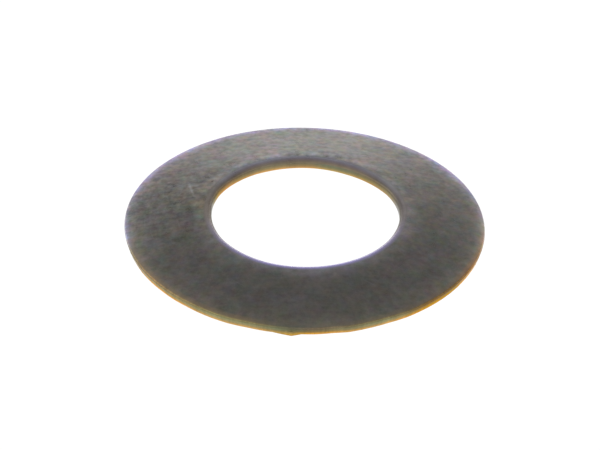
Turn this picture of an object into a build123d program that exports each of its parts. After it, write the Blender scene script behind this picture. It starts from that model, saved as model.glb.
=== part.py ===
from build123d import *
import os
from math import cos, sin, tan, radians

# Conical spring washer: one piece of spring steel sheet, blanked and pierced flat,
# then pressed into a shallow cone. It rests on its outer lower edge with the bore
# raised. Units are millimetres, +Z is up, and the origin is the centre of the plane
# that it rests on.

# ---------------------------------------------------------------- driving dimensions
outer_dia = 20.0        # over the rim, which is widest near its upper edge
bore_dia = 10.5         # smallest diameter of the hole: clearance for a 10 mm screw
thickness = 0.60        # of the sheet, measured square to the face
cone_angle = 12.6       # slope of both faces, in degrees from flat
rim_lean = 16.0         # the rim wall leans in towards its foot, degrees from upright

edge_top_outer = 0.11   # rounding of the upper edge of the rim
edge_bottom_outer = 0.17  # rounding of the lower edge, which it rests on
edge_bottom_inner = 0.07  # rounding where the bore wall meets the underside
edge_top_inner = 0.30   # the raised upper edge of the hole, rolled in by the punch

# A small pointed tooth of metal stands out of the rim's foot, where the blank tore
# from its strip. Angles are degrees from +X, anticlockwise seen from above.
burr_angle = 266.6      # direction of the point, close to -Y
burr_tip_r = 10.03      # distance of the point from the axis
burr_back = 6.2         # degrees from the point to where the long flank meets the rim
burr_front = 3.1        # degrees from the point to where the short flank meets the rim
burr_root_r = 9.70      # radius of the root, inside the rim
burr_foot_z = 0.04      # the underside of the tooth
burr_top_z = 0.32       # the tooth has run out into the rim wall at this height

# ------------------------------------------------------------------------ the section
a = radians(cone_angle)
lean = radians(rim_lean)
thick_z = thickness / cos(a)  # thickness measured along Z

up_face = (sin(a), cos(a))          # outward normal of the upper face, as (r, z)
down_face = (-sin(a), -cos(a))      # of the underside
rim_face = (cos(lean), -sin(lean))  # of the rim wall


def corner_centre(corner, n1, n2, radius):
    """Centre of the rounding that fits inside a corner of two faces."""
    det = n1[0] * n2[1] - n1[1] * n2[0]
    x = -radius * (n2[1] - n1[1]) / det
    z = -radius * (n1[0] - n2[0]) / det
    return corner[0] + x, corner[1] + z


# Sharp corners, first measured from the upper outer one.
top_outer = (0.0, 0.0)
wall = thick_z / (cos(lean) + sin(lean) * tan(a))
bottom_outer = (-wall * sin(lean), -wall * cos(lean))

# Shift so that the rim measures outer_dia and the lowest point is at Z = 0.
shift_r = outer_dia / 2 - edge_top_outer
shift_r -= corner_centre(top_outer, up_face, rim_face, edge_top_outer)[0]
shift_z = edge_bottom_outer
shift_z -= corner_centre(bottom_outer, down_face, rim_face, edge_bottom_outer)[1]

top_outer = (top_outer[0] + shift_r, top_outer[1] + shift_z)
bottom_outer = (bottom_outer[0] + shift_r, bottom_outer[1] + shift_z)


def upper_z(r):
    """Height of the upper face at a radius."""
    return top_outer[1] + (top_outer[0] - r) * tan(a)


def under_z(r):
    """Height of the underside at a radius."""
    return upper_z(r) - thick_z


bore_r = bore_dia / 2  # the bore wall is upright
bottom_inner = (bore_r, under_z(bore_r))
top_inner = (bore_r, upper_z(bore_r))

corners = [
    (top_outer, edge_top_outer),
    (bottom_outer, edge_bottom_outer),
    (bottom_inner, edge_bottom_inner),
    (top_inner, edge_top_inner),
]

with BuildPart() as washer:
    with BuildSketch(Plane.XZ) as section:
        with BuildLine():
            Polyline(*[c for c, _ in corners], close=True)
        make_face()
        for corner, radius in corners:
            nearest = section.vertices().sort_by_distance((corner[0], corner[1], 0))
            fillet(nearest[0], radius)
    revolve(axis=Axis.Z, revolution_arc=360)

# ------------------------------------------------------------------- tooth on the rim


def polar(r, degrees_):
    return r * cos(radians(degrees_)), r * sin(radians(degrees_))


foot_r = bottom_outer[0] - 0.04  # the rim wall's own radius at the tooth's foot
with BuildPart() as burr:
    with BuildSketch(Plane.XY.offset(burr_foot_z)):
        with BuildLine():
            Polyline(
                polar(burr_root_r, burr_angle - burr_back),
                polar(foot_r, burr_angle - burr_back),
                polar(burr_tip_r, burr_angle),
                polar(foot_r, burr_angle + burr_front),
                polar(burr_root_r, burr_angle + burr_front),
                close=True,
            )
        make_face()
    with BuildSketch(Plane.XY.offset(burr_top_z)):
        with BuildLine():
            Polyline(
                polar(burr_root_r, burr_angle - burr_back * 0.5),
                polar(foot_r, burr_angle - burr_back * 0.5),
                polar(foot_r + 0.03, burr_angle),
                polar(foot_r, burr_angle + burr_front * 0.5),
                polar(burr_root_r, burr_angle + burr_front * 0.5),
                close=True,
            )
        make_face()
    loft(ruled=True)

body = washer.part.fuse(burr.part)
solids = body.solids()
assert len(solids) == 1, f"expected one solid, got {len(solids)}"
spring_washer = solids[0]
spring_washer.label = "spring_washer"

box = spring_washer.bounding_box()
print("valid", spring_washer.is_valid, "volume mm3", round(spring_washer.volume, 3))
print("size", [round(v, 4) for v in (box.size.X, box.size.Y, box.size.Z)])
print("z from", round(box.min.Z, 4), "to", round(box.max.Z, 4))
print("bottom_outer", bottom_outer, "top_outer", top_outer)
print("bottom_inner", bottom_inner, "top_inner", top_inner)
print("mass g as steel", round(spring_washer.volume * 7.85e-3, 3))
land = [f for f in spring_washer.faces() if f.geom_type == GeomType.CYLINDER]
for f in land:
    b = f.bounding_box()
    print("land radius", round(b.size.X / 2, 4), "z", round(b.min.Z, 4), round(b.max.Z, 4))

os.makedirs("parts", exist_ok=True)
export_step(spring_washer, "parts/spring_washer.step")
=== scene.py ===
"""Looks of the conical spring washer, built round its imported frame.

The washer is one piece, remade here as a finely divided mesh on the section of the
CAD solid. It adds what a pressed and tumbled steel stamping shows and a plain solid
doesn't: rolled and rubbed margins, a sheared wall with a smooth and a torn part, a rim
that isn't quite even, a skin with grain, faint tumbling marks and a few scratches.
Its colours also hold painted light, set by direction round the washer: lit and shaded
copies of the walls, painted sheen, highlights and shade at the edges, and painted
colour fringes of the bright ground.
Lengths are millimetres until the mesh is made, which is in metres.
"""

import math

import bpy
import numpy as np
from mathutils import Matrix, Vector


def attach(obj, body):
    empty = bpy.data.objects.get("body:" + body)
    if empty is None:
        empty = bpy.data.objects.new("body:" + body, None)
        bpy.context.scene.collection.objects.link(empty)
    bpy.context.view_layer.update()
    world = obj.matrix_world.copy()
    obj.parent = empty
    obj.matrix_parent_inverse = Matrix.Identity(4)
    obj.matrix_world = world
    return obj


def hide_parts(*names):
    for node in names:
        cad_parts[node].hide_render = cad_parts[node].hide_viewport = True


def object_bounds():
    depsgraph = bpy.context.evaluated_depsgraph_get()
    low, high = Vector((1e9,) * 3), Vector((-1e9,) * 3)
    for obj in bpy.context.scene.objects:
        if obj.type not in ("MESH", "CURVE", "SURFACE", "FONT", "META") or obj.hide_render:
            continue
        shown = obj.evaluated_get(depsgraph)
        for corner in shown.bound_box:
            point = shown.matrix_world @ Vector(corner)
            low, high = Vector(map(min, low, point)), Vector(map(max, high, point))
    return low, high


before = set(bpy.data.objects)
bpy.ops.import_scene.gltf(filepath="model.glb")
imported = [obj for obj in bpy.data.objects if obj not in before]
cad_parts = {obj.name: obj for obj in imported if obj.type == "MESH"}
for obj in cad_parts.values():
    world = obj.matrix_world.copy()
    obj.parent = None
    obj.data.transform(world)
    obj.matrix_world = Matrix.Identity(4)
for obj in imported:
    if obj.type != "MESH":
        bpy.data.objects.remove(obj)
cad_low, cad_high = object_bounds()

MM = 0.001

# ------------------------------------------------------------------ the section's sizes
OUTER_DIA = 20.0
BORE_DIA = 10.5
THICKNESS = 0.60
CONE = math.radians(12.6)
RIM_LEAN = math.radians(16.0)
EDGE_TOP_OUTER = 0.11
EDGE_BOTTOM_OUTER = 0.17
EDGE_BOTTOM_INNER = 0.07
EDGE_TOP_INNER = 0.30

# The tooth on the rim's foot: degrees from +X, and millimetres.
TOOTH_AT = 266.6
TOOTH_TIP_R = 10.03
TOOTH_BACK = 6.2
TOOTH_FRONT = 3.1
TOOTH_FOOT_Z = 0.04
TOOTH_TOP_Z = 0.32

# How far the hole stands off the centre of the blank, in millimetres.
HOLE_OFF = (-0.005, -0.026)

# How far the rim stands from a true circle, by direction: it was blanked with a worn tool.
RIM_ERROR = [
    (205, 0.0),
    (212, -0.012),
    (219, -0.032),
    (224, -0.022),
    (229, -0.030),
    (236, 0.006),
    (245, 0.022),
    (252, -0.018),
    (257, 0.012),
    (274, 0.040),
    (280, -0.012),
    (285, 0.055),
    (291, 0.010),
    (299, -0.050),
    (306, -0.020),
    (314, -0.034),
    (334, -0.036),
    (346, 0.0),
]

# The same for the hole, which is a little under its nominal size.
BORE_ERROR = [
    (0, -0.003),
    (11, 0.012),
    (20, 0.010),
    (31, -0.008),
    (37, -0.038),
    (48, -0.073),
    (64, -0.093),
    (74, -0.073),
    (84, -0.050),
    (92, -0.038),
    (114, -0.038),
    (122, -0.013),
    (146, -0.006),
    (155, -0.003),
    (162, -0.025),
    (169, -0.038),
    (176, -0.073),
    (184, -0.083),
    (198, -0.073),
    (208, -0.038),
    (227, -0.033),
    (238, -0.020),
    (246, -0.008),
    (256, -0.022),
    (268, -0.038),
    (281, -0.048),
    (294, -0.066),
    (320, -0.068),
    (335, -0.053),
    (346, -0.038),
    (360, -0.003),
]


def corner_centre(corner, n1, n2, radius):
    """Centre of the rounding that fits inside a corner of two faces."""
    det = n1[0] * n2[1] - n1[1] * n2[0]
    x = -radius * (n2[1] - n1[1]) / det
    z = -radius * (n1[0] - n2[0]) / det
    return corner[0] + x, corner[1] + z


def section_corners():
    """The four sharp corners of the section as (r, z): the rim's top and foot, the bore's foot and top."""
    up_face = (math.sin(CONE), math.cos(CONE))
    down_face = (-math.sin(CONE), -math.cos(CONE))
    rim_face = (math.cos(RIM_LEAN), -math.sin(RIM_LEAN))
    thick_z = THICKNESS / math.cos(CONE)
    wall = thick_z / (math.cos(RIM_LEAN) + math.sin(RIM_LEAN) * math.tan(CONE))
    top = (0.0, 0.0)
    foot = (-wall * math.sin(RIM_LEAN), -wall * math.cos(RIM_LEAN))
    shift_r = OUTER_DIA / 2 - EDGE_TOP_OUTER
    shift_r -= corner_centre(top, up_face, rim_face, EDGE_TOP_OUTER)[0]
    shift_z = EDGE_BOTTOM_OUTER
    shift_z -= corner_centre(foot, down_face, rim_face, EDGE_BOTTOM_OUTER)[1]
    top_outer = (top[0] + shift_r, top[1] + shift_z)
    bottom_outer = (foot[0] + shift_r, foot[1] + shift_z)
    bore_r = BORE_DIA / 2
    upper = top_outer[1] + (top_outer[0] - bore_r) * math.tan(CONE)
    return top_outer, bottom_outer, (bore_r, upper - thick_z), (bore_r, upper)


TOP_OUTER, BOTTOM_OUTER, BOTTOM_INNER, TOP_INNER = section_corners()


def smooth(low, high, value):
    """0 below low, 1 above high, and a soft step between."""
    t = np.clip((np.asarray(value, float) - low) / (high - low), 0.0, 1.0)
    return t * t * (3.0 - 2.0 * t)


def rounded_section():
    """The section as a closed run of points (r, z), with its roundings, and for each point the
    place it is in and how far along that place, from 0 to 1. Place 10 + k is the rounding of
    corner k, and place k is the flat that follows it: rim wall, underside, bore wall, upper face."""
    corners = [TOP_OUTER, BOTTOM_OUTER, BOTTOM_INNER, TOP_INNER]
    radii = [EDGE_TOP_OUTER, EDGE_BOTTOM_OUTER, EDGE_BOTTOM_INNER, EDGE_TOP_INNER]
    steps = [10, 10, 6, 18]
    t = np.linspace(0, 1, 36)
    spacing = [
        np.linspace(0, 1, 13),
        np.linspace(0, 1, 17),
        np.linspace(0, 1, 6),
        t - 0.105 * np.sin(2 * math.pi * t),  # closer together near both edges
    ]
    count = len(corners)
    arcs = []
    for k in range(count):
        p = np.array(corners[k])
        a = np.array(corners[k - 1]) - p
        b = np.array(corners[(k + 1) % count]) - p
        a /= np.linalg.norm(a)
        b /= np.linalg.norm(b)
        half = math.acos(float(a @ b)) / 2
        run = radii[k] / math.tan(half)
        centre = p + (a + b) / np.linalg.norm(a + b) * radii[k] / math.sin(half)
        start, end = p + a * run - centre, p + b * run - centre
        a0 = math.atan2(start[1], start[0])
        turn = math.atan2(end[1], end[0]) - a0
        turn = (turn + math.pi) % (2 * math.pi) - math.pi
        angles = a0 + turn * np.linspace(0, 1, steps[k] + 1)
        arcs.append(centre + radii[k] * np.stack([np.cos(angles), np.sin(angles)], 1))
    points, where = [], []
    for k in range(count):
        arc = arcs[k]
        for i, q in enumerate(arc):
            points.append(q)
            where.append((10 + k, i / (len(arc) - 1)))
        nxt = arcs[(k + 1) % count][0]
        for s in spacing[k][1:-1]:
            points.append(arc[-1] + (nxt - arc[-1]) * s)
            where.append((k, s))
    return np.array(points), np.array(where)


section, place = rounded_section()
r0, z0 = section[:, 0].copy(), section[:, 1].copy()
on_top = place[:, 0] == 3

# How far each point is along the section from its start, at the rim's top edge.
run = np.hypot(np.diff(np.append(r0, r0[0])), np.diff(np.append(z0, z0[0])))
along = np.concatenate([[0], np.cumsum(run)])


def at(where, share):
    """The distance along the section of the point that is a share of the way along a place."""
    pick = place[:, 0] == where
    return float(np.interp(share, place[pick, 1], along[:-1][pick]))


# Directions round the washer, closer together at the tooth.
around = 720
base_angles = np.arange(around) * 360.0 / around
near_tooth = np.abs((base_angles - (TOOTH_AT - 1.5) + 180) % 360 - 180) < 6.5
extra = base_angles[near_tooth] + 180.0 / around
angles = np.sort(np.concatenate([base_angles, extra, [TOOTH_AT]]))
angles = angles[np.insert(np.diff(angles) > 0.05, 0, True)]
phi = np.radians(angles)
NA, NP = len(phi), len(r0)


def periodic_noise(angle, seed, low, high, fall=1.0):
    """A smooth random line round the circle, with waves from low to high per turn, about 1 high."""
    rng = np.random.default_rng(seed)
    total, power = np.zeros_like(angle), 0.0
    for k in range(low, high + 1):
        size = 1.0 / k**fall
        total += size * np.sin(k * angle + rng.uniform(0, 2 * math.pi))
        power += size * size / 2
    return total / math.sqrt(power) / 1.6


R = np.repeat(r0[None, :], NA, 0)
Z = np.repeat(z0[None, :], NA, 0)
PHI = np.repeat(phi[:, None], NP, 1)
DEG = np.repeat(angles[:, None], NP, 1)

# Margins: the upper face rolls off towards the rim and towards the bore.
from_rim = OUTER_DIA / 2 - R
from_bore = R - BORE_DIA / 2
crown = 0.050 * (1 - np.exp(-np.clip(from_rim - 0.086, 0, None) / 0.20))
crown *= 1 - np.exp(-np.clip(from_bore - 0.365, 0, None) / 0.26)
Z += np.where(on_top[None, :], crown, 0.0)

# A slightly uneven rim: whole rim, then its wall and foot more than its upper edge.
rim_line = np.interp(angles, [a for a, d in RIM_ERROR], [d for a, d in RIM_ERROR])
rim_line = rim_line + 0.006 * periodic_noise(phi, 3, 3, 23, 0.7)
reach = smooth(1.6, 0.0, from_rim)  # 1 at the rim and 0 further in than 1.6
R += rim_line[:, None] * reach
bore_line = np.interp(angles, [a for a, d in BORE_ERROR], [d for a, d in BORE_ERROR])
bore_line = bore_line + 0.005 * periodic_noise(phi, 8, 2, 17, 0.8)
R += bore_line[:, None] * smooth(1.2, 0.0, R - BORE_DIA / 2)

# The sheared walls: fine upright furrows in the smooth part, a rough torn part below it.
rim_wall = (place[:, 0] == 0) | (place[:, 0] == 10) | (place[:, 0] == 11)
height = (Z - 0.0) / TOP_OUTER[1]
torn = smooth(0.50, 0.34, height + 0.07 * periodic_noise(phi, 12, 5, 60, 0.5)[:, None])
torn = torn * rim_wall[None, :] * smooth(0.02, 0.12, height)
rough = periodic_noise(phi, 21, 40, 170, 0.1)[:, None] * np.cos(
    height * 9 + 4 * periodic_noise(phi, 22, 9, 60, 0.4)[:, None]
)
R += 0.007 * torn * rough - 0.008 * torn
furrow = periodic_noise(phi, 31, 60, 240, 0.0)[:, None]
R += 0.0015 * furrow * (1 - torn) * rim_wall[None, :] * smooth(0.1, 0.3, height)

# The tooth: a point that stands out of the foot of the rim wall.
offset = (DEG - TOOTH_AT + 180) % 360 - 180
across = np.where(offset < 0, -offset / TOOTH_BACK, offset / TOOTH_FRONT)
middle = (Z - TOOTH_FOOT_Z) / (TOOTH_TOP_Z - TOOTH_FOOT_Z)
up = np.clip(middle, 0, 1)
narrow = 1 - 0.5 * up
push = np.clip(1 - across / narrow, 0, 1)
wall_r = BOTTOM_OUTER[0] - 0.04 + 0.0 * Z
gap = np.maximum(TOOTH_TIP_R - wall_r, 0) * (1 - up) + 0.03 * up
outside = rim_wall[None, :] * smooth(-0.05, 0.02, Z) * smooth(1.0, 0.86, middle)
R += gap * push * outside

# Slow unevenness of the faces, a few thousandths, as on any pressed sheet.
dents = np.zeros_like(Z)
rng = np.random.default_rng(5)
for k in range(26):
    n_around = int(rng.integers(1, 15))
    n_out = rng.uniform(0.3, 1.6)
    wave = np.sin(n_around * PHI + rng.uniform(0, 2 * math.pi))
    wave *= np.sin(n_out * R + rng.uniform(0, 2 * math.pi))
    dents += wave / (1 + 0.35 * n_around)
dents *= 0.0010
faces = (place[:, 0] == 3) | (place[:, 0] == 1)
Z += dents * faces[None, :] * smooth(0.1, 0.6, from_rim) * smooth(0.37, 0.9, from_bore)

# Nothing under the floor that it stands on, and nothing above the CAD solid.
Z = np.clip(Z, 0.0, float(cad_high[2]) / MM)

X, Y = R * np.cos(PHI), R * np.sin(PHI)
# The hole was pierced a few hundredths off the blank's centre.
near_hole = smooth(2.0, 0.2, R - BORE_DIA / 2)
X += HOLE_OFF[0] * near_hole
Y += HOLE_OFF[1] * near_hole
verts = np.stack([X, Y, Z], -1).reshape(-1, 3) * MM

index = np.arange(NA * NP).reshape(NA, NP)
i00 = index
i01 = np.roll(index, -1, 1)
i10 = np.roll(index, -1, 0)
i11 = np.roll(np.roll(index, -1, 0), -1, 1)
quads = np.stack([i00, i10, i11, i01], -1).reshape(-1, 4)

mesh = bpy.data.meshes.new("washer_skin")
mesh.vertices.add(len(verts))
mesh.vertices.foreach_set("co", verts.astype(np.float32).ravel())
mesh.loops.add(quads.size)
mesh.loops.foreach_set("vertex_index", quads.astype(np.int32).ravel())
mesh.polygons.add(len(quads))
mesh.polygons.foreach_set("loop_start", np.arange(0, quads.size, 4, dtype=np.int32))
mesh.update(calc_edges=True)
mesh.validate()

# Outward faces: the volume is positive when they are.
p = verts[quads]
volume = np.einsum("ij,ij->i", p[:, 0], np.cross(p[:, 1], p[:, 2])).sum()
volume += np.einsum("ij,ij->i", p[:, 0], np.cross(p[:, 2], p[:, 3])).sum()
if volume < 0:
    mesh.flip_normals()
mesh.polygons.foreach_set("use_smooth", np.ones(len(quads), dtype=bool))
mesh.update()


# ------------------------------------------------------------- what lies where, per point
def attribute(name, values):
    values = np.broadcast_to(values, (NA, NP)).astype(np.float32)
    layer = mesh.attributes.new(name, "FLOAT", "POINT")
    layer.data.foreach_set("value", np.ascontiguousarray(values).ravel())


def along_section(points):
    """A value at each point of the section, from (distance along it, value) pairs."""
    points = sorted(points)
    return np.interp(along[:-1], [p for p, v in points], [v for p, v in points])


# Wear of the upper face: how much barer the steel is, by distance from each edge.
rim_wear = np.interp(
    OUTER_DIA / 2 - r0,
    [0.00, 0.10, 0.20, 0.30, 0.40, 0.50, 0.60, 0.80, 1.00, 1.20, 1.60],
    [0.42, 0.40, 0.36, 0.31, 0.27, 0.22, 0.18, 0.12, 0.08, 0.05, 0.00],
)
bore_wear = np.interp(
    r0 - BORE_DIA / 2,
    [0.36, 0.45, 0.55, 0.65, 0.75, 0.85, 0.95, 1.05, 1.15, 1.35, 1.75],
    [0.50, 0.47, 0.42, 0.36, 0.30, 0.25, 0.20, 0.15, 0.11, 0.05, 0.00],
)
upper = on_top | (place[:, 0] == 10)
attribute("rim_wear", (rim_wear * upper)[None, :])
attribute("bore_wear", (bore_wear * on_top)[None, :])

# The two sides of the rim, and patches of the inner margin, are lighter still: partly rubbed barer, partly a painted
# sheen set by direction.
sides = np.interp(
    angles,
    [0, 14, 30, 60, 90, 120, 150, 166, 180, 190, 202, 216, 322, 342, 360],
    [0.80, 0.52, 0.44, 0.24, 0.20, 0.34, 0.40, 0.52, 0.80, 1.05, 0.40, 0.0, 0.0, 0.45, 0.80],
)
rubbed_rim = np.interp(
    OUTER_DIA / 2 - r0,
    [0.0, 0.10, 0.20, 0.30, 0.40, 0.50, 0.60, 0.70, 1.0, 1.4, 1.8],
    [0.82, 0.68, 0.50, 0.42, 0.36, 0.27, 0.19, 0.15, 0.11, 0.06, 0.0],
)
patches = np.interp(
    angles,
    [0, 15, 40, 65, 90, 120, 148, 156, 165, 174, 184, 198, 225, 270, 315, 338, 350, 360],
    [0.05, 0.08, 0.13, 0.24, 0.20, 0.30, 0.30, -0.10, -0.10, 0.0, -0.11, 0.0, 0.04, 0.09, 0.0, -0.03, 0.14, 0.05],
)
rubbed_bore = np.interp(r0 - BORE_DIA / 2, [0.3, 0.7, 1.2], [1.0, 0.8, 0.0])
barer_and_sheen = (rubbed_rim * upper)[None, :] * sides[:, None]
barer_and_sheen = barer_and_sheen + (rubbed_bore * on_top)[None, :] * patches[:, None]
stain = np.exp(-(((angles - 180.0) / 18.0) ** 2))[:, None] * np.exp(-(((r0 - 6.45) / 0.34) ** 2))[None, :]
barer_and_sheen = barer_and_sheen - 0.17 * stain * on_top[None, :]
attribute("barer_and_sheen", barer_and_sheen)
blue_bore = np.interp(r0 - BORE_DIA / 2, [0.35, 0.65, 1.0, 1.4], [1.0, 0.8, 0.4, 0.0])
blue_round = np.interp(
    angles,
    [0, 20, 50, 70, 90, 125, 145, 160, 176, 190, 202, 215, 250, 300, 335, 350, 360],
    [0.3, 0.0, 0.2, 0.6, 1.0, 0.8, 0.3, -0.2, -0.7, -0.5, 0.0, 0.2, 0.75, 0.65, 0.2, 0.35, 0.3],
)
attribute("blue_bore", (blue_bore * on_top)[None, :] * blue_round[:, None])

# The rim from its foot's lowest visible line, 0, up the wall and over the top edge, to 1.
foot_line = at(11, 0.46)
rim_up = along_section(
    [
        (at(10, 0.0), 1.0),
        (at(10, 1.0), 0.78),
        (at(0, 0.5), 0.44),
        (at(11, 0.0), 0.10),
        (foot_line, 0.0),
        (at(2, 1.0), 0.0),
        (at(3, 0.0), 1.0),
        (along[-1], 1.0),
    ]
)
attribute("rim_up", rim_up[None, :])
# On the near half it takes in the top edge. On the far half the face's own skin runs over it.
near_half = np.interp(angles, [0, 187, 200, 338, 352, 360], [0, 0, 1, 1, 0, 0])
on_rim_near = along_section(
    [
        (at(10, 0.0), 0.75),
        (at(10, 0.25), 1.0),
        (at(11, 0.27), 1.0),
        (foot_line, 0.50),
        (at(11, 0.62), 0.22),
        (at(11, 1.0), 0.04),
        (at(11, 1.0) + 0.12, 0.0),
        (at(3, 1.0) - 0.22, 0.0),
        (along[-1], 0.75),
    ]
)
on_rim_far = along_section(
    [
        (at(10, 0.35), 0.0),
        (at(10, 1.0), 1.0),
        (at(11, 0.27), 1.0),
        (foot_line, 0.50),
        (at(11, 0.62), 0.22),
        (at(11, 1.0), 0.04),
        (at(11, 1.0) + 0.12, 0.0),
    ]
)
on_rim = on_rim_near[None, :] * near_half[:, None] + on_rim_far[None, :] * (1 - near_half[:, None])
attribute("on_rim", on_rim)

# The bore from its foot, 0, up the wall and over the rolled-in top edge, to 1.
bore_up = along_section(
    [
        (at(12, 0.0), 0.0),
        (at(12, 0.40), 0.0),
        (at(12, 1.0), 0.047),
        (at(13, 0.0), 0.275),
        (at(13, 0.195), 0.4175),
        (at(13, 0.39), 0.5725),
        (at(13, 0.585), 0.7225),
        (at(13, 0.78), 0.848),
        (at(13, 1.0), 0.942),
        (at(13, 1.0) + 0.10, 1.0),
    ]
)
attribute("bore_up", bore_up[None, :])
on_bore = along_section(
    [
        (at(12, 0.0) - 0.10, 0.0),
        (at(12, 0.0), 0.25),
        (at(12, 0.28), 1.0),
        (at(13, 1.0), 1.0),
        (at(13, 1.0) + 0.14, 0.0),
    ]
)
attribute("on_bore", on_bore[None, :])

# The bore's edge is browner at one end of the hole, and painted darker at the other, as shade.
brown_bore = np.interp(angles, [146, 156, 168, 180, 192, 200], [0.0, 1.0, 0.75, 0.6, 0.3, 0.0])
attribute("brown_bore", brown_bore[:, None])
dark_bore = np.interp(angles, [0, 14, 24, 340, 350, 360], [1.0, 0.6, 0.0, 0.0, 1.0, 1.0])
dark_up = along_section([(at(13, 0.10), 0.0), (at(13, 0.32), 1.0), (at(13, 0.62), 1.0), (at(13, 0.85), 0.0)])
attribute("dark_bore", dark_bore[:, None] * dark_up[None, :])

walls = np.isin(place[:, 0], [0, 2, 11, 12]).astype(float)
attribute("wall", walls[None, :])
attribute("torn", torn)

# By direction: how strong the fine mottling is, how much its colour wanders, and how
# warm the skin is. Fitted to how the washer looks from one side, -Y.
lively = np.interp(angles, [0, 40, 90, 140, 180, 225, 270, 315, 360], [1.0, 1.6, 1.9, 1.7, 1.15, 0.9, 0.8, 0.85, 1.0])
attribute("lively", lively[:, None])
broad = np.interp(angles, [0, 40, 90, 140, 180, 225, 270, 315, 360], [0.85, 1.4, 1.75, 1.45, 1.05, 0.85, 0.70, 0.75, 0.85])
attribute("broad", broad[:, None])
motley = np.interp(angles, [0, 40, 90, 140, 180, 225, 270, 315, 360], [1.05, 1.2, 1.3, 1.2, 1.1, 0.8, 0.6, 0.75, 1.05])
attribute("motley", motley[:, None])
warm = np.interp(angles, [0, 40, 90, 140, 180, 360], [0.2, 1.0, 1.0, 0.8, 0.0, 0.2])
attribute("warm", warm[:, None])

# By direction: how much of the sheared wall takes its painted lit copy, and how strong the
# straw of the two lower edges and the violet of the upper ones are. Fitted to how the washer
# looks from one side, -Y. The straw and violet are painted colour fringes of the bright
# ground, which may be a lens's fringe and not on the metal.
lit_share = np.interp(
    angles,
    [0, 30, 180, 195, 205, 215, 225, 235, 245, 255, 262, 266, 272, 279, 287, 295, 302, 308, 315, 340, 360],
    [0.1, 0.4, 0.5, 0.6, 0.4, 0.6, 0.65, 1.0, 1.0, 0.9, 0.7, 0.3, 0.1, 0.3, 0.7, 1.0, 0.7, 0.3, 0.0, 0.0, 0.1],
)
attribute("lit_share", lit_share[:, None])
straw_rim = np.interp(
    angles,
    [0, 20, 160, 188, 196, 206, 214, 335, 345, 355, 360],
    [0.3, 0.2, 0.2, 0.1, 0.35, 0.8, 1.0, 1.0, 0.8, 0.4, 0.3],
)
attribute("straw_rim", straw_rim[:, None])
deep_straw = np.interp(angles, [296, 312, 340], [0.0, 1.0, 1.0]) * (angles < 352)
attribute("deep_straw", deep_straw[:, None])
# Painted light on the wall by direction: warmer and lighter (amber), a painted glint, a painted flare low on the wall,
# darker at the tooth (dim).
amber = np.interp(angles, [196, 206, 214, 221, 230, 240], [0.0, 0.9, 1.5, 0.8, 0.6, 0.0])
attribute("amber", amber[:, None])
glint = np.interp(angles, [327, 335, 346, 352], [0.0, 1.0, 1.0, 0.0])
attribute("glint", glint[:, None])
flare = np.interp(angles, [297, 303, 308, 314], [0.0, 1.0, 1.0, 0.0])
attribute("flare", flare[:, None])
dim = np.interp(angles, [257, 262, 268, 273], [0.0, 1.0, 1.0, 0.0])
attribute("dim", dim[:, None])
# By direction round the bore: a painted gold fringe low on its wall, a greener part, paler parts, and the shares of
# its painted side, far and near copies.
gold_bore = np.interp(angles, [136, 145, 156, 166], [0.0, 1.0, 1.0, 0.0])
attribute("gold_bore", gold_bore[:, None])
lime = np.interp(angles, [42, 48, 58, 64, 78, 86], [0.0, 0.5, 0.6, 1.2, 1.2, 0.0])
attribute("lime", lime[:, None])
pale_bore = np.interp(angles, [22, 28, 36, 44, 98, 106, 116, 126], [0.0, 1.0, 1.0, 0.0, 0.0, 1.0, 1.0, 0.0])
attribute("pale_bore", pale_bore[:, None])
bore_side = np.interp(angles, [14, 26, 38, 52, 158, 172, 360], [0.0, 0.55, 0.72, 1.0, 1.0, 0.0, 0.0])
attribute("bore_side", bore_side[:, None])
bore_far = np.interp(angles, [44, 60, 124, 140], [0.0, 1.0, 1.0, 0.0])
attribute("bore_far", bore_far[:, None])
bore_near = np.interp(
    angles,
    [186, 202, 228, 252, 292, 316, 340, 350, 358],
    [0.0, 0.22, 0.70, 1.0, 1.0, 0.80, 0.34, 0.14, 0.0],
)
attribute("bore_near", bore_near[:, None])
far_half = np.interp(
    angles,
    [0, 14, 36, 150, 172, 190, 345, 360],
    [0.0, 0.20, 1.0, 1.0, 0.35, 0.0, 0.0, 0.0],
)
far_sides = np.interp(
    angles,
    [0, 12, 24, 36, 150, 166, 180, 190, 200, 350, 360],
    [0.2, 0.35, 0.35, 0.0, 0.0, 0.35, 0.48, 0.72, 0.0, 0.0, 0.2],
)
violet = np.interp(
    OUTER_DIA / 2 - r0,
    [0.0, 0.10, 0.20, 0.30, 0.40, 0.50, 0.60, 0.70, 0.90],
    [1.4, 1.35, 1.25, 1.00, 0.70, 0.48, 0.28, 0.16, 0.0],
)
violet_edge = np.interp(OUTER_DIA / 2 - r0, [0.0, 0.10, 0.20, 0.30, 0.45], [1.3, 1.0, 0.45, 0.12, 0.0])
violets = (violet * upper)[None, :] * far_half[:, None]
violets = violets + (violet_edge * upper)[None, :] * far_sides[:, None]
attribute("violet", violets)
brown_edge = np.interp(OUTER_DIA / 2 - r0, [0.0, 0.08, 0.14, 0.22, 0.34], [1.2, 1.1, 0.85, 0.45, 0.0])
brown_round = np.interp(
    angles,
    [0, 12, 20, 194, 201, 208, 222, 234, 246, 256, 270, 300, 322, 338, 350, 360],
    [0.35, 0.05, 0.0, 0.0, 0.30, 0.0, 0.0, 0.55, 1.15, 0.60, 0.20, 0.20, 0.30, 1.2, 0.85, 0.35],
)
attribute("brown", (brown_edge * upper)[None, :] * brown_round[:, None])
olive = np.interp(OUTER_DIA / 2 - r0, [0.0, 0.3, 0.9, 1.4], [1.0, 0.8, 0.4, 0.0])
attribute("olive", (olive * upper)[None, :] * (1 - np.maximum(far_half, far_sides))[:, None])

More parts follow.
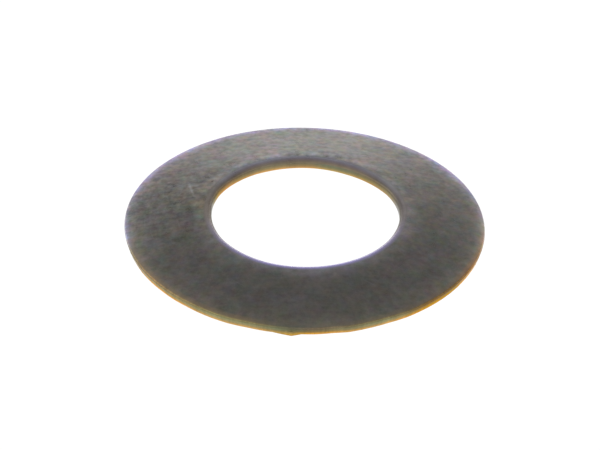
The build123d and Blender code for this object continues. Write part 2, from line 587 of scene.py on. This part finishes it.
# A map of the skin: the ring is opened into three strips, one above the other.
strips = 3
turn = np.append(angles, angles[0] + 360.0) / 360.0
a_lo = turn[:-1][:, None] + np.zeros((1, NP))
a_hi = turn[1:][:, None] + np.zeros((1, NP))
s_lo = along[:-1][None, :] / along[-1] + np.zeros((NA, 1))
s_hi = along[1:][None, :] / along[-1] + np.zeros((NA, 1))
row = np.floor((a_lo + a_hi) / 2 * strips)
edge = 0.006


def strip_uv(a, s):
    u = edge + (1 - 2 * edge) * (a * strips - row)
    v = (row + edge * 2 + (1 - 4 * edge) * s) / strips
    return np.stack([u, v], -1)


uv = np.stack(
    [
        strip_uv(a_lo, s_lo),
        strip_uv(a_hi, s_lo),
        strip_uv(a_hi, s_hi),
        strip_uv(a_lo, s_hi),
    ],
    2,
).reshape(-1, 4, 2)
if volume < 0:
    uv = uv[:, ::-1]
corner_vertex = np.empty(quads.size, np.int32)
mesh.loops.foreach_get("vertex_index", corner_vertex)
corner_vertex = corner_vertex.reshape(-1, 4)
order = np.argmax(
    (quads if volume >= 0 else quads[:, ::-1]) == corner_vertex[:, :1], axis=1
)
uv = np.take_along_axis(uv, ((order[:, None] + np.arange(4)) % 4)[:, :, None], 1)
layer = mesh.uv_layers.new(name="OFBake", do_init=False)
layer.uv.foreach_set("vector", uv.astype(np.float32).ravel())

washer = bpy.data.objects.new("washer_skin", mesh)
bpy.context.scene.collection.objects.link(washer)


# ------------------------------------------------------------------------------ material
class Nodes:
    """Short ways to write a node tree."""

    def __init__(self, tree):
        self.tree = tree

    def put(self, socket, value):
        if isinstance(value, bpy.types.NodeSocket):
            self.tree.links.new(value, socket)
        elif value is not None:
            socket.default_value = value

    def new(self, kind, **settings):
        node = self.tree.nodes.new(kind)
        for name, value in settings.items():
            setattr(node, name, value)
        return node

    def math(self, operation, a, b=None, c=None, clamp=False):
        node = self.new("ShaderNodeMath", operation=operation, use_clamp=clamp)
        for socket, value in zip(node.inputs, (a, b, c)):
            self.put(socket, value)
        return node.outputs[0]

    def vector(self, operation, a, b=None, scale=None):
        node = self.new("ShaderNodeVectorMath", operation=operation)
        self.put(node.inputs[0], a)
        if b is not None:
            self.put(node.inputs[1], b)
        if scale is not None:
            self.put(node.inputs["Scale"], scale)
        return node.outputs[1] if operation in ("LENGTH", "DOT_PRODUCT", "DISTANCE") else node.outputs[0]

    def noise(self, vector, scale, detail=3.0, rough=0.5, lac=2.0, warp=0.0, out=0):
        node = self.new("ShaderNodeTexNoise")
        self.put(node.inputs["Vector"], vector)
        node.inputs["Scale"].default_value = scale
        node.inputs["Detail"].default_value = detail
        node.inputs["Roughness"].default_value = rough
        node.inputs["Lacunarity"].default_value = lac
        node.inputs["Distortion"].default_value = warp
        return node.outputs[out]

    def step(self, value, low, high, to_low=0.0, to_high=1.0):
        node = self.new("ShaderNodeMapRange", interpolation_type="SMOOTHSTEP")
        self.put(node.inputs[0], value)
        for k, v in zip((1, 2, 3, 4), (low, high, to_low, to_high)):
            node.inputs[k].default_value = v
        return node.outputs[0]

    def mix(self, share, a, b, blend="MIX"):
        node = self.new("ShaderNodeMix", data_type="RGBA", blend_type=blend)
        self.put(node.inputs[0], share)
        self.put(node.inputs[6], a)
        self.put(node.inputs[7], b)
        return node.outputs[2]

    def attribute(self, name):
        node = self.new("ShaderNodeAttribute", attribute_name=name)
        return node.outputs["Fac"]


steel = bpy.data.materials.new("dark_spring_steel")
steel.use_nodes = True
tree = steel.node_tree
tree.nodes.clear()
N = Nodes(tree)
out = N.new("ShaderNodeOutputMaterial")
shader = N.new("ShaderNodeBsdfPrincipled")
tree.links.new(shader.outputs[0], out.inputs[0])
shader.inputs["Metallic"].default_value = 1.0

coords = N.new("ShaderNodeTexCoord").outputs["Object"]
mm = N.vector("SCALE", coords, scale=1000.0)  # millimetres
flat = N.vector("MULTIPLY", mm, (1.0, 1.0, 0.0))
radius = N.vector("LENGTH", flat)
ring = N.vector("SCALE", N.vector("NORMALIZE", flat), scale=7.0)

wall = N.attribute("wall")
rim_wear_at = N.attribute("rim_wear")
bore_wear_at = N.attribute("bore_wear")
rim_up_at = N.attribute("rim_up")
on_rim_at = N.attribute("on_rim")
bore_up_at = N.attribute("bore_up")
on_bore_at = N.attribute("on_bore")
torn_at = N.attribute("torn")
lit_share_at = N.attribute("lit_share")
straw_rim_at = N.attribute("straw_rim")
deep_straw_at = N.attribute("deep_straw")
bore_side_at = N.attribute("bore_side")
bore_far_at = N.attribute("bore_far")
bore_near_at = N.attribute("bore_near")
barer_and_sheen_at = N.attribute("barer_and_sheen")
brown_bore_at = N.attribute("brown_bore")
dark_bore_at = N.attribute("dark_bore")
blue_bore_at = N.attribute("blue_bore")
violet_at = N.attribute("violet")
olive_at = N.attribute("olive")
brown_at = N.attribute("brown")
amber_at = N.attribute("amber")
glint_at = N.attribute("glint")
flare_at = N.attribute("flare")
dim_at = N.attribute("dim")
gold_bore_at = N.attribute("gold_bore")
lime_at = N.attribute("lime")
pale_bore_at = N.attribute("pale_bore")
lively_at = N.attribute("lively")
broad_at = N.attribute("broad")
motley_at = N.attribute("motley")
warm_at = N.attribute("warm")


def level(value, gain):
    """A noise value made into a change about zero."""
    return N.math("MULTIPLY", N.math("SUBTRACT", value, 0.5), gain)


def shift(vector, x, y, z):
    """The same place moved, so that two noises of one size don't match."""
    return N.vector("ADD", vector, (x, y, z))


# The phosphate skin is mottled at every size from a twentieth of a millimetre to three,
# alike in every direction on the metal.
blotch = N.noise(mm, 0.42, 0.0)
cloud = N.noise(shift(mm, 7, 3, 1), 0.85, 0.0)
mottle = N.noise(shift(mm, 2, 9, 4), 1.6, 0.0)
speck = N.noise(shift(mm, 5, 1, 8), 3.1, 0.0)
grain = N.noise(shift(mm, 1, 6, 2), 6.2, 1.0, 0.6)
dust = N.noise(shift(mm, 3, 3, 9), 15.0, 1.0, 0.6)

# rings left by tumbling: streaks that follow the circle, in patches
spokes = N.new("ShaderNodeCombineXYZ")
N.put(spokes.inputs[2], N.math("MULTIPLY", radius, 4.2))
streak_at = N.vector("ADD", ring, spokes.outputs[0])
streak = N.noise(streak_at, 0.8, 1.0, 0.6)


def strokes(turn, length, width):
    """Short straight strokes in one direction."""
    node = N.new("ShaderNodeMapping")
    N.put(node.inputs["Vector"], mm)
    node.inputs["Rotation"].default_value = (0, 0, math.radians(turn))
    node.inputs["Scale"].default_value = (1 / length, 1 / width, 1.0)
    return N.noise(node.outputs[0], 1.0, 1.0, 0.5)


stroke_a = strokes(63, 1.6, 0.16)
stroke_b = strokes(-38, 1.3, 0.13)
stroke_c = strokes(88, 2.2, 0.20)

# the side that was rubbed most
left = N.vector("DISTANCE", mm, (-7.4, 0.9, 1.0))
rubbed = N.step(left, 5.2, 1.0)

amount = N.math("ADD", N.math("MULTIPLY", rubbed, 0.55), 1.0)
change = N.math("ADD", level(cloud, 0.22), level(mottle, 0.28))
change = N.math("ADD", level(blotch, 0.16), N.math("MULTIPLY", change, broad_at))
fine = N.math("MULTIPLY", level(speck, 0.32), N.math("MAXIMUM", broad_at, 1.0))
fine = N.math("ADD", fine, level(grain, 0.36))
change = N.math("ADD", change, N.math("MULTIPLY", fine, lively_at))
change = N.math("ADD", change, level(dust, 0.20))
change = N.math("ADD", change, N.math("MULTIPLY", level(streak, 0.30), rubbed))
change = N.math("ADD", change, level(stroke_a, 0.10))
change = N.math("ADD", change, level(stroke_b, 0.08))
change = N.math("ADD", change, N.math("MULTIPLY", level(stroke_c, 0.20), rubbed))
change = N.math("MULTIPLY", change, amount)

# its colour wanders a little between warm, green and blue greys
tinge = N.noise(shift(mm, 4, 4, 4), 3.0, 0.0, out=1)
tinge = N.vector("MULTIPLY", N.vector("SUBTRACT", tinge, (0.5, 0.5, 0.5)), (0.30, 0.18, 0.34))
hue = N.noise(shift(mm, 9, 2, 6), 1.15, 0.0, out=1)
hue = N.vector("MULTIPLY", N.vector("SUBTRACT", hue, (0.5, 0.5, 0.5)), (0.28, 0.17, 0.28))
tinge = N.vector("SCALE", N.vector("ADD", tinge, hue), scale=motley_at)
tinge = N.vector("ADD", tinge, N.vector("SCALE", (0.028, -0.018, -0.028), scale=warm_at))
tinge = N.vector("ADD", tinge, (1.0, 1.0, 1.0))
face = N.vector("MULTIPLY", tinge, (0.1650, 0.1580, 0.1470))
face = N.vector("SCALE", face, scale=N.math("ADD", change, 1.0))


def scratch(ax, ay, bx, by, width):
    """1 along a line from a to b on the face, seen from above."""
    dx, dy = bx - ax, by - ay
    size = math.hypot(dx, dy)
    rel = N.vector("SUBTRACT", mm, (ax, ay, 0.0))
    lengthwise = N.vector("DOT_PRODUCT", rel, (dx / size, dy / size, 0.0))
    sideways = N.math(
        "ABSOLUTE", N.vector("DOT_PRODUCT", rel, (-dy / size, dx / size, 0.0))
    )
    ends = N.math(
        "MULTIPLY",
        N.step(lengthwise, 0.0, size * 0.35),
        N.step(lengthwise, size, size * 0.6),
    )
    return N.math("MULTIPLY", ends, N.step(sideways, width, width * 0.25))


marks = scratch(-6.56, 3.36, -6.13, 1.20, 0.095)
for line in (
    (-7.75, 2.3, -7.55, 1.2, 0.06),
    (-8.9, 0.1, -8.85, -1.1, 0.06),
    (-8.6, -1.3, -8.3, -2.2, 0.05),
    (-7.1, -0.4, -6.9, -1.6, 0.05),
    (-5.4, 4.7, -4.6, 5.3, 0.05),
    (1.9, 7.6, 2.9, 7.1, 0.045),
    (7.3, -1.6, 7.9, -0.7, 0.045),
    (3.2, -6.1, 4.1, -6.6, 0.05),
    (-3.9, -6.4, -3.1, -7.0, 0.045),
):
    marks = N.math("MAXIMUM", marks, N.math("MULTIPLY", scratch(*line), 0.30))
not_wall = N.math("SUBTRACT", 1.0, wall, clamp=True)
marks = N.math("MULTIPLY", marks, not_wall)
face = N.mix(N.math("MULTIPLY", marks, 0.26), face, (0.46, 0.47, 0.50, 1))

# rubbed margins are barer, and the rim's sides are lightened by a painted sheen as well
wear = N.math("ADD", rim_wear_at, bore_wear_at)
bare = N.math("MULTIPLY", wear, N.math("ADD", level(mottle, 0.8), 1.0))
face = N.vector("SCALE", face, scale=N.math("ADD", bare, 1.0))
face = N.vector("SCALE", face, scale=N.math("ADD", barer_and_sheen_at, 1.0))
face = N.mix(olive_at, face, N.vector("MULTIPLY", face, (1.02, 1.0, 0.90)))
# Painted colour fringe of the bright ground on the upper edges: violet on the rim's margin, with brown at the rim's
# edge and blue at the bore's margin, by direction.
fringe_and_tints = N.vector("SCALE", (0.16, 0.12, 0.70), scale=violet_at)
fringe_and_tints = N.vector("ADD", fringe_and_tints, N.vector("SCALE", (0.40, 0.10, -0.14), scale=brown_at))
fringe_and_tints = N.vector("ADD", fringe_and_tints, N.vector("SCALE", (0.01, 0.05, 0.27), scale=blue_bore_at))
face = N.vector("MULTIPLY", face, N.vector("ADD", fringe_and_tints, (1.0, 1.0, 1.0)))


def ramp(value, stops):
    """A colour ramp with soft steps, from (share, colour) pairs."""
    node = N.new("ShaderNodeValToRGB")
    N.put(node.inputs[0], value)
    node.color_ramp.interpolation = "LINEAR"
    while len(node.color_ramp.elements) < len(stops):
        node.color_ramp.elements.new(0.5)
    for element, (share, colour) in zip(node.color_ramp.elements, stops):
        element.position = share
        element.color = (*colour, 1)
    return node.outputs[0]


# The rim's wall, from its foot up: a painted straw fringe, then the smooth sheared band, then
# dark, then a painted highlight on the top edge. Painted lit, shaded and deep straw copies of
# it are mixed by direction.
shaded_side = ramp(
    rim_up_at,
    [
        (0.00, (0.82, 0.36, 0.030)),
        (0.08, (0.80, 0.36, 0.034)),
        (0.15, (0.66, 0.330, 0.043)),
        (0.27, (0.455, 0.235, 0.046)),
        (0.39, (0.268, 0.156, 0.050)),
        (0.49, (0.193, 0.130, 0.053)),
        (0.61, (0.170, 0.127, 0.060)),
        (0.73, (0.163, 0.124, 0.068)),
        (0.81, (0.149, 0.110, 0.069)),
        (0.86, (0.168, 0.119, 0.082)),
        (0.90, (0.250, 0.190, 0.135)),
        (0.945, (0.300, 0.250, 0.180)),
        (1.00, (0.262, 0.245, 0.200)),
    ],
)
lit_side = ramp(
    rim_up_at,
    [
        (0.00, (0.80, 0.42, 0.120)),
        (0.07, (0.68, 0.385, 0.115)),
        (0.15, (0.610, 0.375, 0.138)),
        (0.27, (0.455, 0.306, 0.130)),
        (0.39, (0.337, 0.262, 0.130)),
        (0.49, (0.290, 0.253, 0.129)),
        (0.61, (0.267, 0.248, 0.125)),
        (0.73, (0.250, 0.240, 0.118)),
        (0.81, (0.207, 0.193, 0.093)),
        (0.86, (0.212, 0.190, 0.088)),
        (0.90, (0.326, 0.274, 0.128)),
        (0.945, (0.380, 0.310, 0.160)),
        (1.00, (0.328, 0.270, 0.187)),
    ],
)
deep_side = ramp(
    rim_up_at,
    [
        (0.00, (0.78, 0.29, 0.014)),
        (0.13, (0.645, 0.272, 0.020)),
        (0.27, (0.535, 0.244, 0.024)),
        (0.41, (0.410, 0.190, 0.022)),
        (0.56, (0.303, 0.138, 0.017)),
        (0.70, (0.245, 0.115, 0.018)),
        (0.81, (0.188, 0.095, 0.023)),
        (0.87, (0.205, 0.118, 0.036)),
        (0.91, (0.275, 0.168, 0.056)),
        (0.955, (0.290, 0.195, 0.092)),
        (1.00, (0.275, 0.218, 0.160)),
    ],
)
plain_side = (0.215, 0.180, 0.140, 1)
furrows = N.noise(N.vector("MULTIPLY", mm, (6.0, 6.0, 0.9)), 1.0, 2.0, 0.6)
patch = N.noise(N.vector("MULTIPLY", mm, (1.3, 1.3, 0.6)), 1.0, 1.0, 0.5)
side = N.mix(deep_straw_at, shaded_side, deep_side)
side = N.mix(lit_share_at, side, lit_side)
low = N.step(rim_up_at, 0.42, 0.12)
side = N.mix(N.math("MULTIPLY", low, N.math("SUBTRACT", 1.0, straw_rim_at)), side, plain_side)
# Painted light by direction: warmer and lighter (amber), a painted glint, a painted flare low on the wall, darker at
# the tooth (dim).
side = N.vector("MULTIPLY", side, N.vector("ADD", N.vector("SCALE", (0.28, 0.11, 0.0), scale=amber_at), (1.0, 1.0, 1.0)))
side = N.vector("MULTIPLY", side, N.vector("ADD", N.vector("SCALE", (0.38, 0.16, 0.04), scale=glint_at), (1.0, 1.0, 1.0)))
flare_at = N.math("MULTIPLY", flare_at, N.step(rim_up_at, 0.85, 0.45))
side = N.vector("MULTIPLY", side, N.vector("ADD", N.vector("SCALE", (0.15, 0.10, 0.05), scale=flare_at), (1.0, 1.0, 1.0)))
side = N.vector("MULTIPLY", side, N.vector("ADD", N.vector("SCALE", (-0.24, -0.11, -0.03), scale=dim_at), (1.0, 1.0, 1.0)))
rough_side = N.math("ADD", level(furrows, 0.55), N.math("ADD", level(patch, 0.5), 1.0))
side = N.vector("SCALE", side, scale=rough_side)
side = N.vector(
    "SCALE", side, scale=N.math("SUBTRACT", 1.0, N.math("MULTIPLY", torn_at, 0.10))
)

# The bore, from its foot up: a painted straw fringe, olive, a dark line of painted shade under
# the rounded top edge, then violet grey, a painted fringe, into the face. Painted copies for its
# ends, sides, far and near parts are mixed by direction.
hole_tip = ramp(
    bore_up_at,
    [
        (0.00, (0.26, 0.210, 0.165)),
        (0.10, (0.187, 0.170, 0.152)),
        (0.275, (0.180, 0.163, 0.130)),
        (0.36, (0.150, 0.132, 0.095)),
        (0.43, (0.114, 0.100, 0.075)),
        (0.50, (0.150, 0.130, 0.100)),
        (0.595, (0.130, 0.114, 0.098)),
        (0.66, (0.158, 0.140, 0.130)),
        (0.72, (0.213, 0.183, 0.170)),
        (0.78, (0.248, 0.218, 0.210)),
        (0.83, (0.300, 0.266, 0.260)),
        (0.87, (0.306, 0.274, 0.270)),
        (0.91, (0.300, 0.269, 0.264)),
        (0.94, (0.280, 0.252, 0.248)),
        (1.00, (0.260, 0.235, 0.228)),
    ],
)
hole_side = ramp(
    bore_up_at,
    [
        (0.00, (0.66, 0.320, 0.075)),
        (0.07, (0.473, 0.255, 0.080)),
        (0.13, (0.371, 0.235, 0.083)),
        (0.19, (0.307, 0.215, 0.085)),
        (0.255, (0.260, 0.190, 0.078)),
        (0.32, (0.223, 0.162, 0.072)),
        (0.38, (0.181, 0.136, 0.068)),
        (0.44, (0.154, 0.118, 0.071)),
        (0.51, (0.192, 0.152, 0.106)),
        (0.57, (0.201, 0.163, 0.130)),
        (0.635, (0.230, 0.199, 0.177)),
        (0.70, (0.270, 0.241, 0.242)),
        (0.76, (0.297, 0.272, 0.294)),
        (0.81, (0.315, 0.291, 0.329)),
        (0.86, (0.314, 0.301, 0.329)),
        (0.895, (0.291, 0.281, 0.308)),
        (0.94, (0.256, 0.253, 0.274)),
        (1.00, (0.248, 0.242, 0.237)),
    ],
)
hole_far = ramp(
    bore_up_at,
    [
        (0.00, (0.70, 0.340, 0.080)),
        (0.05, (0.560, 0.290, 0.088)),
        (0.11, (0.424, 0.256, 0.098)),
        (0.17, (0.325, 0.215, 0.094)),
        (0.235, (0.254, 0.184, 0.090)),
        (0.30, (0.220, 0.172, 0.091)),
        (0.36, (0.197, 0.163, 0.094)),
        (0.43, (0.171, 0.142, 0.092)),
        (0.50, (0.272, 0.219, 0.149)),
        (0.56, (0.300, 0.244, 0.184)),
        (0.63, (0.331, 0.270, 0.227)),
        (0.70, (0.349, 0.282, 0.273)),
        (0.76, (0.339, 0.290, 0.316)),
        (0.82, (0.330, 0.297, 0.342)),
        (0.86, (0.299, 0.278, 0.326)),
        (0.91, (0.252, 0.242, 0.288)),
        (0.94, (0.226, 0.221, 0.267)),
        (1.00, (0.220, 0.220, 0.262)),
    ],
)
hole_near = ramp(
    bore_up_at,
    [
        (0.00, (0.200, 0.180, 0.150)),
        (0.43, (0.160, 0.140, 0.120)),
        (0.60, (0.280, 0.250, 0.300)),
        (0.72, (0.376, 0.330, 0.494)),
        (0.83, (0.500, 0.455, 0.790)),
        (0.91, (0.454, 0.414, 0.720)),
        (0.94, (0.388, 0.357, 0.630)),
        (1.00, (0.304, 0.282, 0.460)),
    ],
)
hole = N.mix(bore_side_at, hole_tip, hole_side)
hole = N.mix(bore_far_at, hole, hole_far)
hole = N.mix(bore_near_at, hole, hole_near)
hole = N.vector("MULTIPLY", hole, N.vector("ADD", N.vector("SCALE", (-0.12, -0.17, -0.32), scale=brown_bore_at), (1.0, 1.0, 1.0)))
# painted shade at one end of the hole
hole = N.vector("SCALE", hole, scale=N.math("SUBTRACT", 1.0, N.math("MULTIPLY", dark_bore_at, 0.27)))
# a painted gold fringe low in the bore, by direction
hole_low = N.step(bore_up_at, 0.52, 0.36)
gold_bore_at = N.math("MULTIPLY", gold_bore_at, hole_low)
hole = N.vector("MULTIPLY", hole, N.vector("ADD", N.vector("SCALE", (0.36, 0.08, 0.12), scale=gold_bore_at), (1.0, 1.0, 1.0)))
hole = N.vector("MULTIPLY", hole, N.vector("ADD", N.vector("SCALE", (0.09, 0.13, 0.12), scale=pale_bore_at), (1.0, 1.0, 1.0)))
lime_at = N.math("MULTIPLY", lime_at, hole_low)
hole = N.vector("MULTIPLY", hole, N.vector("ADD", N.vector("SCALE", (-0.15, 0.03, 0.11), scale=lime_at), (1.0, 1.0, 1.0)))
hole = N.vector("SCALE", hole, scale=N.math("ADD", level(furrows, 0.30), N.math("ADD", level(mottle, 0.25), 1.0)))

skin = N.mix(on_rim_at, face, side)
skin = N.mix(on_bore_at, skin, hole)
tree.links.new(skin, shader.inputs["Base Color"])

# The painted straw fringe of the two lower edges keeps its colour at a glancing angle.
fringe_share = N.math("MULTIPLY", N.math("MULTIPLY", on_rim_at, straw_rim_at), N.step(rim_up_at, 0.95, 0.35))
fringe_spec_tint = N.mix(deep_straw_at, (1.0, 0.96, 0.66, 1), (1.0, 0.97, 0.50, 1))
fringe_spec_tint = N.mix(fringe_share, (1.0, 1.0, 1.0, 1), fringe_spec_tint)
fringe_share = N.math("MULTIPLY", N.math("MULTIPLY", on_bore_at, bore_side_at), N.step(bore_up_at, 0.62, 0.40))
fringe_spec_tint = N.mix(fringe_share, fringe_spec_tint, (1.0, 0.96, 0.62, 1))
tree.links.new(fringe_spec_tint, shader.inputs["Specular Tint"])

gloss = N.math("ADD", level(mottle, 0.10), 0.305)
gloss = N.math("ADD", gloss, level(speck, 0.06))
gloss = N.math("ADD", gloss, N.math("MULTIPLY", rim_wear_at, 0.36))
gloss = N.math("ADD", gloss, N.math("MULTIPLY", torn_at, 0.12), clamp=True)
tree.links.new(gloss, shader.inputs["Roughness"])

relief = N.math("MULTIPLY", grain, 0.0008)
relief = N.math("ADD", relief, N.math("MULTIPLY", speck, 0.0016))
relief = N.math("ADD", relief, N.math("MULTIPLY", mottle, 0.0030))
relief = N.math("ADD", relief, N.math("MULTIPLY", cloud, 0.0030))
relief = N.math("ADD", relief, N.math("MULTIPLY", N.math("MULTIPLY", streak, rubbed), 0.0020))
relief = N.math("ADD", relief, N.math("MULTIPLY", stroke_a, 0.0006))
relief = N.math("ADD", relief, N.math("MULTIPLY", N.math("MULTIPLY", furrows, wall), 0.006))
relief = N.math("SUBTRACT", relief, N.math("MULTIPLY", marks, 0.002))
bump = N.new("ShaderNodeBump")
bump.inputs["Strength"].default_value = 1.0
bump.inputs["Distance"].default_value = MM
tree.links.new(relief, bump.inputs["Height"])
tree.links.new(bump.outputs[0], shader.inputs["Normal"])

mesh.materials.append(steel)
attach(washer, "root")
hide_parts("spring_washer")

# -------------------------------------------------------------------- ground and light
ground_mesh = bpy.data.meshes.new("ground")
ring_points = [
    (3.0 * math.cos(k * math.pi / 32), 3.0 * math.sin(k * math.pi / 32), 0.0)
    for k in range(64)
]
ground_mesh.from_pydata(ring_points, [], [list(range(64))])
ground = bpy.data.objects.new("ground", ground_mesh)
bpy.context.scene.collection.objects.link(ground)
paper = bpy.data.materials.new("white_ground")
paper.use_nodes = True
tree = paper.node_tree
tree.nodes.clear()
G = Nodes(tree)
ground_out = G.new("ShaderNodeOutputMaterial")
glow = G.new("ShaderNodeEmission")
glow.inputs["Color"].default_value = (1.0, 1.0, 1.0, 1)
glow.inputs["Strength"].default_value = 1.05
clear = G.new("ShaderNodeBsdfTransparent")
pick = G.new("ShaderNodeMixShader")
tree.links.new(G.new("ShaderNodeNewGeometry").outputs["Backfacing"], pick.inputs[0])
tree.links.new(glow.outputs[0], pick.inputs[1])
tree.links.new(clear.outputs[0], pick.inputs[2])
tree.links.new(pick.outputs[0], ground_out.inputs[0])
ground_mesh.materials.append(paper)

world = bpy.data.worlds.new("light_tent")
bpy.context.scene.world = world
world.use_nodes = True
tree = world.node_tree
tree.nodes.clear()
W = Nodes(tree)
world_out = W.new("ShaderNodeOutputWorld")
sky = W.new("ShaderNodeBackground")
sky.inputs["Strength"].default_value = 1.0
tree.links.new(sky.outputs[0], world_out.inputs[0])
where_to = W.new("ShaderNodeTexCoord").outputs["Generated"]
parts = W.new("ShaderNodeSeparateXYZ")
tree.links.new(where_to, parts.inputs[0])
height_of = W.math("ARCSINE", parts.outputs[2])
turns = W.math("MULTIPLY", height_of, 2 / math.pi)  # 0 at the horizon, 1 overhead
# degrees up from the horizon, and how bright the tent is there
TENT = [
    (0, 2.05),
    (4, 2.05),
    (8, 1.75),
    (12, 1.00),
    (16, 0.72),
    (21, 0.64),
    (27, 0.56),
    (34, 0.50),
    (42, 0.54),
    (52, 0.45),
    (64, 0.40),
    (77, 0.39),
    (90, 0.39),
]
TOP = 2.1
shade = W.new("ShaderNodeValToRGB")
tree.links.new(turns, shade.inputs[0])
shade.color_ramp.interpolation = "LINEAR"
while len(shade.color_ramp.elements) < len(TENT):
    shade.color_ramp.elements.new(0.5)
for element, (degrees, value) in zip(shade.color_ramp.elements, TENT):
    element.position = degrees / 90
    element.color = (value / TOP, value / TOP, value / TOP, 1)
# and a little brighter on the left than on the right
lean = W.math("MULTIPLY", W.math("SUBTRACT", 1.0, W.math("MULTIPLY", parts.outputs[0], 0.18)), TOP)
tree.links.new(lean, sky.inputs["Strength"])
tree.links.new(shade.outputs[0], sky.inputs["Color"])

view = bpy.context.scene.view_settings
view.view_transform = "Standard"
view.look = "None"
view.exposure = 0.0
view.gamma = 1.0

# ------------------------------------------------------------------------------- camera
ELEVATION = math.radians(33.80)
ROLL = math.radians(1.334)
PX_PER_MM = 360.3 / 20.0
ORIGIN_PX = (304.50, 235.04)
LENS, SENSOR = 1150.0, 36.0

forward = np.array([0.0, math.cos(ELEVATION), -math.sin(ELEVATION)])
right = np.array([1.0, 0.0, 0.0])
upward = np.cross(right, forward)
right, upward = (
    math.cos(ROLL) * right + math.sin(ROLL) * upward,
    -math.sin(ROLL) * right + math.cos(ROLL) * upward,
)
aim = -(ORIGIN_PX[0] - 300) / PX_PER_MM * right + (ORIGIN_PX[1] - 225) / PX_PER_MM * upward
away = 600 / PX_PER_MM * LENS / SENSOR
at = (aim - forward * away) * MM

cam_data = bpy.data.cameras.new("camera")
cam_data.type = "PERSP"
cam_data.lens = LENS
cam_data.sensor_width = SENSOR
cam_data.clip_start = 0.05
cam_data.clip_end = 20.0
camera = bpy.data.objects.new("camera", cam_data)
bpy.context.scene.collection.objects.link(camera)
camera.matrix_world = Matrix(
    [
        [right[0], upward[0], -forward[0], at[0]],
        [right[1], upward[1], -forward[1], at[1]],
        [right[2], upward[2], -forward[2], at[2]],
        [0, 0, 0, 1],
    ]
)
bpy.context.scene.camera = camera

bpy.context.view_layer.update()
